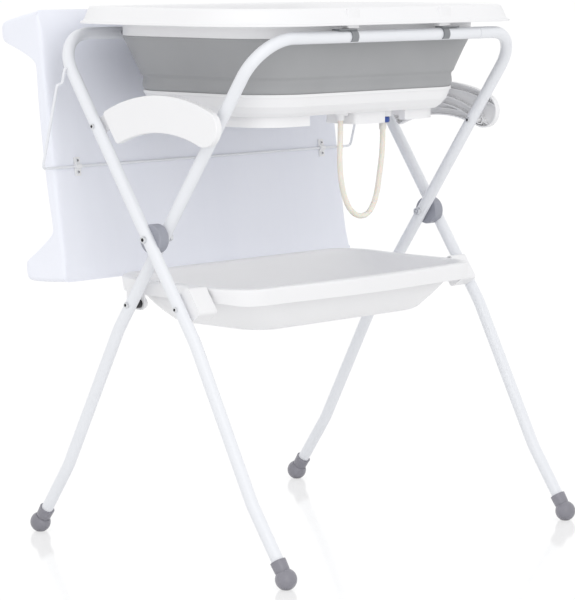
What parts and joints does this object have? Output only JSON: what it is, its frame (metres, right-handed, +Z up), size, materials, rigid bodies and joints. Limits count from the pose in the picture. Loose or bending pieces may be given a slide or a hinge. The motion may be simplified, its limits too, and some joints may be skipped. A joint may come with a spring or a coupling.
{
  "type": "changing table with bathtub",
  "caption": "Folding tube-frame changing table with a collapsible bath on top, a shelf tray below and a padded changing board hung behind on a wire bail.",
  "frame": {"origin": "centre of the whole box at floor level, between the four feet", "axes": "+X along the bath to the right, +Y from the front to the back, +Z up"},
  "size_m": [0.839, 0.7269, 0.971],
  "materials": {
    "tube_white": "satin powder coat",
    "plastic_white": "satin moulded plastic",
    "plastic_grey": "glossy moulded plastic",
    "wall_grey": "matt soft plastic",
    "plug_blue": "matt",
    "hose_ivory": "translucent soft tube",
    "vinyl_blue": "soft padded vinyl",
    "steel": "zinc plated",
    "black_plastic": "matt"
  },
  "bodies": {
    "outer_frame": {"outer_tube_left": "tube_white", "outer_tube_right": "tube_white", "outer_seam_screw": "steel", "foot_front_left": "plastic_grey", "foot_front_right": "plastic_grey", "pivot_disc_left": "plastic_grey", "pivot_disc_right": "plastic_grey", "pivot_bolts": "steel", "pivot_nuts": "steel", "arch_left": "plastic_white", "arch_right": "plastic_white", "arch_screws": "steel", "tray_bracket_left": "plastic_white", "tray_bracket_right": "plastic_white", "bracket_screws": "steel"},
    "inner_frame": {"inner_tube_left": "tube_white", "inner_tube_right": "tube_white", "inner_seam_screw": "steel", "foot_rear_left": "plastic_grey", "foot_rear_right": "plastic_grey", "track_roller_left": "plastic_white", "track_roller_right": "plastic_white", "roller_screws": "steel", "bar_clip_left": "plastic_grey", "bar_clip_right": "plastic_grey", "tray_hinge_bolts": "steel", "tray_hinge_nuts": "steel", "tray_hinge_washers": "black_plastic"},
    "tub": {"tub_rim": "plastic_white", "tub_wall": "wall_grey"},
    "tub_bottom": {"tub_base": "plastic_white", "drain_fitting": "plastic_white", "plug_holder": "plastic_white", "hose_plug": "plug_blue", "drain_hose": "hose_ivory"},
    "tray": {"tray": "plastic_white"},
    "bail": {"bail_wire": "tube_white"},
    "board": {"changing_board": "vinyl_blue", "board_clip_left": "plastic_white", "board_clip_right": "plastic_white", "board_clip_screws": "steel"}
  },
  "joints": [
    {"name": "frame_fold", "type": "hinge", "parent": "outer_frame", "child": "inner_frame", "pos_m": [0, -0.0174, 0.57], "axis": [-1, 0, 0], "range_deg": [0, 58]},
    {"name": "tub_lift", "type": "slide", "parent": "outer_frame", "child": "tub", "axis": [0, 0.1772, 0.9842], "range_m": [0, 0.9637]},
    {"name": "tub_collapse", "type": "slide", "parent": "tub", "child": "tub_bottom", "axis": [0, 0, 1], "range_m": [0, 0.09], "deforming": ["tub_wall"]},
    {"name": "tray_tilt", "type": "hinge", "parent": "inner_frame", "child": "tray", "pos_m": [0, 0.06556, 0.44503], "axis": [-1, 0, 0], "range_deg": [0, 29.1]},
    {"name": "bail_swing", "type": "hinge", "parent": "outer_frame", "child": "bail", "pos_m": [0, 0.17617, 0.8616], "axis": [1, 0, 0], "range_deg": [0, 216.5]},
    {"name": "board_tilt", "type": "hinge", "parent": "bail", "child": "board", "pos_m": [0, 0.22401, 0.6815], "axis": [1, 0, 0], "range_deg": [-118.6, 0]}
  ],
  "couplings": [
    {"joint": "tub_lift", "follows": "frame_fold", "m_per_rad": 0.95},
    {"joint": "tray_tilt", "follows": "frame_fold", "ratio": 0.5},
    {"joint": "board_tilt", "follows": "bail_swing", "ratio": -0.54734}
  ]
}
